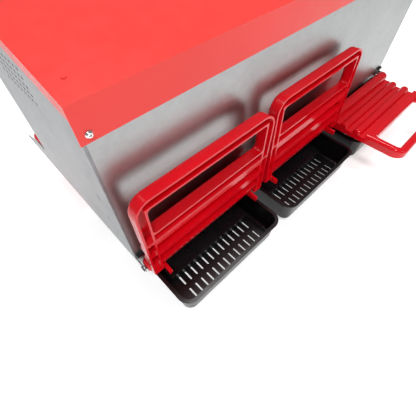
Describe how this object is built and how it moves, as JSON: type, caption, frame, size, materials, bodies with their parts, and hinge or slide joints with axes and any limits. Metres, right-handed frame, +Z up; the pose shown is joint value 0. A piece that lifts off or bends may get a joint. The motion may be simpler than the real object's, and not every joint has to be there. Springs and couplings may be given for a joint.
{
  "type": "roll-away poultry nest box",
  "caption": "Galvanised roll-away nest box with a red roof, black sliding egg trays, folding red egg guards in front and folding perches at the hens' side.",
  "frame": {"origin": "on the floor, midway between the front panel and the entrance panel, on the middle of the width", "axes": "+X to the right seen from the egg side, +Y from the egg side to the hens' side, +Z up"},
  "size_m": [0.7534, 0.592, 0.4221],
  "materials": {
    "galvanised_sheet": "galvanised sheet, soft mirror sheen",
    "galvanised_brackets": "galvanised, dull",
    "red_paint": "satin powder coat",
    "red_plastic": "glossy moulded",
    "black_plastic": "satin moulded",
    "black_fittings": "satin moulded",
    "bright_fasteners": "zinc plated",
    "rubber": "matt"
  },
  "bodies": {
    "housing": {"left_side_panel": "galvanised_sheet", "right_side_panel": "galvanised_sheet", "front_panel": "galvanised_sheet", "entrance_panel": "galvanised_sheet", "partition_1": "galvanised_sheet", "partition_2": "galvanised_sheet", "egg_baffles": "galvanised_sheet", "roof": "red_paint", "roof_screws": "bright_fasteners", "roof_rivets": "red_paint", "front_hinge_brackets": "galvanised_brackets", "rear_hinge_brackets": "galvanised_brackets", "front_hinge_pins": "black_fittings", "rear_hinge_pins": "black_fittings", "front_catches": "black_fittings", "rear_catches": "black_fittings", "left_runner": "galvanised_brackets", "inner_runner_1": "galvanised_brackets", "inner_runner_2": "galvanised_brackets", "right_runner": "galvanised_brackets", "front_left_leg": "galvanised_brackets", "front_right_leg": "galvanised_brackets", "rear_left_leg": "galvanised_brackets", "rear_right_leg": "galvanised_brackets", "rubber_feet": "rubber", "bracket_screws": "bright_fasteners", "leg_bolts": "bright_fasteners"},
    "tray_1": {"egg_tray_1": "black_plastic", "nest_floor_1": "black_plastic"},
    "guard_1": {"egg_guard_1": "red_plastic"},
    "rear_perch_1": {"perch_1": "red_plastic"},
    "tray_2": {"egg_tray_2": "black_plastic", "nest_floor_2": "black_plastic"},
    "guard_2": {"egg_guard_2": "red_plastic"},
    "rear_perch_2": {"perch_2": "red_plastic"},
    "tray_3": {"egg_tray_3": "black_plastic", "nest_floor_3": "black_plastic"},
    "guard_3": {"egg_guard_3": "red_plastic"},
    "rear_perch_3": {"perch_3": "red_plastic"}
  },
  "joints": [
    {"name": "tray_1_slide", "type": "slide", "parent": "housing", "child": "tray_1", "axis": [0, -1, 0], "range_m": [0, 0.2]},
    {"name": "guard_1_hinge", "type": "hinge", "parent": "housing", "child": "guard_1", "pos_m": [-0.25, -0.1335, 0.097], "axis": [-1, 0, 0], "range_deg": [-90, 2.4]},
    {"name": "perch_1_hinge", "type": "hinge", "parent": "housing", "child": "rear_perch_1", "pos_m": [-0.25, 0.1335, 0.097], "axis": [1, 0, 0], "range_deg": [0, 92.4]},
    {"name": "tray_2_slide", "type": "slide", "parent": "housing", "child": "tray_2", "axis": [0, -1, 0], "range_m": [0, 0.2]},
    {"name": "guard_2_hinge", "type": "hinge", "parent": "housing", "child": "guard_2", "pos_m": [0, -0.1335, 0.097], "axis": [-1, 0, 0], "range_deg": [-92.4, 0]},
    {"name": "perch_2_hinge", "type": "hinge", "parent": "housing", "child": "rear_perch_2", "pos_m": [0, 0.1335, 0.097], "axis": [1, 0, 0], "range_deg": [0, 92.4]},
    {"name": "tray_3_slide", "type": "slide", "parent": "housing", "child": "tray_3", "axis": [0, -1, 0], "range_m": [0, 0.2]},
    {"name": "guard_3_hinge", "type": "hinge", "parent": "housing", "child": "guard_3", "pos_m": [0.25, -0.1335, 0.097], "axis": [-1, 0, 0], "range_deg": [0, 92.4]},
    {"name": "perch_3_hinge", "type": "hinge", "parent": "housing", "child": "rear_perch_3", "pos_m": [0.25, 0.1335, 0.097], "axis": [1, 0, 0], "range_deg": [0, 92.4]}
  ]
}
